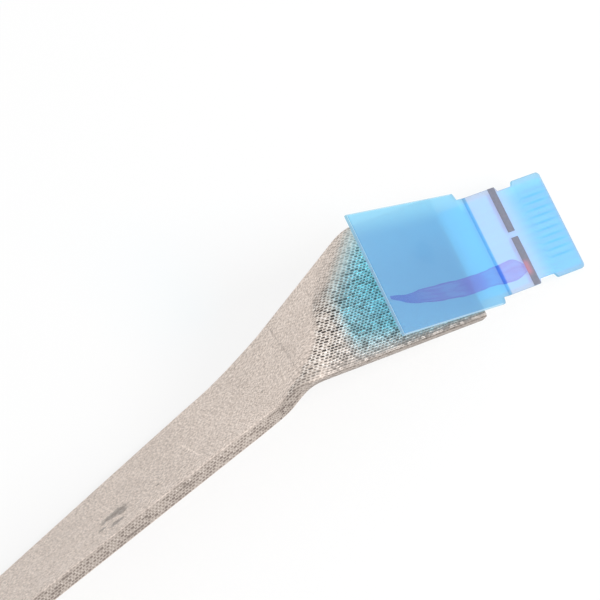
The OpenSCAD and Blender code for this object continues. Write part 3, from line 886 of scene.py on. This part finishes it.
def insulation_material():
    """Whitish film, with each conductor as a darker line a little narrower than the metal."""
    n = Nodes("clear_film")
    u, v = n.strip()
    between = n.step(off_between(n, v), 0.24, 0.36, 1.0, 0.0)
    line = n.times(n.rest(between), within(n, v, FILM_W / 2 - 0.3, 0.2), 0.4)
    tone = n.mix(n.noise(n.vector(u, v), 3.0, 3), (0.88, 0.88, 0.87, 1), (0.95, 0.95, 0.94, 1))
    tone = n.mix(line, tone, (0.55, 0.58, 0.62, 1))
    return n.finish(n.surface(tone, 0.35, {
        "Coat Weight": 0.2, "Coat Roughness": 0.2, "Normal": n.bump(between, 0.3, 0.01)}))


def tin_material():
    """Tinned copper with a grain that is drawn out along X."""
    n = Nodes("tinned_copper")
    at = n.add("ShaderNodeTexCoord", out=3)
    grain = n.noise(n.add("ShaderNodeMapping", {"Vector": at, "Scale": (60, 2500, 2500)}), 1.0, 3)
    tone = n.mix(grain, (0.68, 0.67, 0.64, 1), (0.85, 0.84, 0.82, 1))
    return n.finish(n.surface(tone, n.step(grain, 0.2, 0.8, 0.22, 0.42), {
        "Metallic": 0.9, "Normal": n.bump(grain, 0.2, 0.004)}))


def bar_material():
    """Dark ink of the insertion bars, tinted where the brush crossed it."""
    n = Nodes("grey_ink")
    q, v = n.strip()
    tone = n.mix(n.noise(n.vector(q, v), 6.0, 3), (0.13, 0.135, 0.17, 1), (0.2, 0.2, 0.25, 1))
    apart = n.math("ABSOLUTE", n.minus(v, STROKE_V + 0.12))
    crossed = n.times(n.step(apart, 0.2, 0.6, 1.0, 0.0), n.step(q, BAR_U - 0.03, BAR_U + 0.35),
                      0.42)
    body = n.surface(n.mix(crossed, tone, (0.72, 0.2, 0.27, 1)), 0.5)
    return n.finish(thin_plastic(n, 0.8, (0.75, 0.8, 0.9, 1), body, (0.6, 0.65, 0.75, 1)))


def stroke_material():
    """Thin red ink, violet on the tab and bluer towards its end."""
    n = Nodes("red_ink")
    q, across = n.strip()
    rim = n.step(n.math("ABSOLUTE", across), 0.72, 0.98)
    streak = n.noise(n.vector(n.times(q, 0.5), n.times(across, 1.6)), 1.6, 4)
    # The ink lies thicker on the rim and in streaks, and thinner towards the bars
    load = n.times(n.largest(rim, n.times(n.step(streak, 0.35, 0.7), 0.7)),
                   n.step(n.minus(q, across), 6.2, 8.5, 0.5, 1.0))
    tint = n.mix(load, (0.955, 0.92, 0.97, 1), (0.95, 0.8, 0.925, 1))
    # Painted shade: the ink is drawn darker and bluer over the film's crease
    ink_crease_shade = n.times(n.band(q, CREASE_U - 0.02, CREASE_U + BEND_LENGTH, 0.06), 0.8)
    for mask, colour in ((n.band(q, 6.5, 8.3, 0.5), (0.95, 0.82, 0.94, 1)),
                         (n.step(q, 10.5, 13.5), (0.84, 0.82, 0.94, 1)),
                         (ink_crease_shade, (0.62, 0.7, 0.97, 1))):
        tint = n.mix(mask, tint, colour)
    body = n.surface(n.mix(load, (0.3, 0.25, 0.6, 1), (0.25, 0.16, 0.5, 1)), 0.5)
    return n.finish(thin_plastic(n, 0.05, tint, body, (0.98, 0.93, 0.98, 1)))


# ---------------------------------------------------------------- the pieces and their finish
insulation = insulation_material()
grey_ink = bar_material()
upper_insulation = make_insulation("upper_insulation", PROUD - CONDUCTOR_T / 2,
                                   FILM_TOP - PROUD / 2, 0, "upper_film", insulation)
lower_insulation = make_insulation("lower_insulation", -FILM_TOP, -CONDUCTOR_T / 2 - LAYER_GAP,
                                   BARE_LENGTH, "lower_film", insulation)
wrap = make_wrap(cloth_material())
make_film(blue_film_material())
make_stroke(stroke_material())
make_bar("left_bar", -NECK_W / 2, BAR_GAP_V - BAR_GAP / 2, "insertion_bar_left", grey_ink)
make_bar("right_bar", BAR_GAP_V + BAR_GAP / 2, NECK_W / 2, "insertion_bar_right", grey_ink)


def finish_node(name, material):
    """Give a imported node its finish. Its shape stays."""
    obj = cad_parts[name]
    obj.data.materials.clear()
    obj.data.materials.append(material)


tin = tin_material()
for i in range(CONDUCTOR_COUNT):
    finish_node(f"conductor_{i + 1}", tin)
finish_node("plain_stiffener", plain_film_material())

# ---------------------------------------------------------------- stage and light
RIGHT, UP, BACK = view_axes()
KEY_DIRECTION = 0.76 * RIGHT + 0.2 * UP + 0.58 * BACK
# The key light is a long window laid along the tab's width, so its shade has one crisp side
KEY_SIZE = (65, 150)
KEY_DISTANCE = 300.0
KEY_POWER = 0.78
WORLD_LEVEL = 0.8
FLOOR_GREY = 0.82
FLOOR_GLOW_SHARE = 0.8
FLOOR_REACH = 3.0


def add_key():
    """A soft light that looks at the fold."""
    data = bpy.data.lights.new("key", "AREA")
    data.shape = "RECTANGLE"
    data.size, data.size_y = (side * MM for side in KEY_SIZE)
    data.energy = KEY_POWER
    light = bpy.data.objects.new("key", data)
    bpy.context.scene.collection.objects.link(light)
    back = unit(KEY_DIRECTION)
    right = unit(np.cross(V_DIR, back))
    place(light, (right, np.cross(back, right), back), FOLD_MIDDLE + KEY_DISTANCE * back)


def add_floor():
    """A pale floor that keeps the shadow and looks white to the camera and in reflections."""
    n = Nodes("floor")
    path = n.add("ShaderNodeLightPath")
    seen = n.largest(path, path.node.outputs["Is Glossy Ray"],
                     path.node.outputs["Is Transmission Ray"])
    plain = n.add("ShaderNodeBsdfDiffuse", {"Color": (FLOOR_GREY, FLOOR_GREY, FLOOR_GREY, 1)})
    glow = n.add("ShaderNodeEmission", {"Color": (1, 1, 1, 1), "Strength": 1.0})
    share = n.times(seen, FLOOR_GLOW_SHARE)
    material = n.finish(n.add("ShaderNodeMixShader", {0: share, 1: plain, 2: glow}))
    mesh = bpy.data.meshes.new("floor")
    reach = FLOOR_REACH
    corners = [(-reach, -reach, 0), (reach, -reach, 0), (reach, reach, 0), (-reach, reach, 0)]
    mesh.from_pydata(corners, [], [(0, 1, 2, 3)])
    mesh.materials.append(material)
    floor = bpy.data.objects.new("floor", mesh)
    bpy.context.scene.collection.objects.link(floor)
    floor.location.z = cad_bounds[0][2]


def set_world():
    """An even white sky."""
    world = bpy.data.worlds.new("world")
    world.use_nodes = True
    sky = world.node_tree.nodes["Background"]
    sky.inputs["Color"].default_value = (1, 1, 1, 1)
    sky.inputs["Strength"].default_value = WORLD_LEVEL
    bpy.context.scene.world = world


add_floor()
set_world()
add_key()

scene = bpy.context.scene
scene.view_settings.view_transform = "Standard"
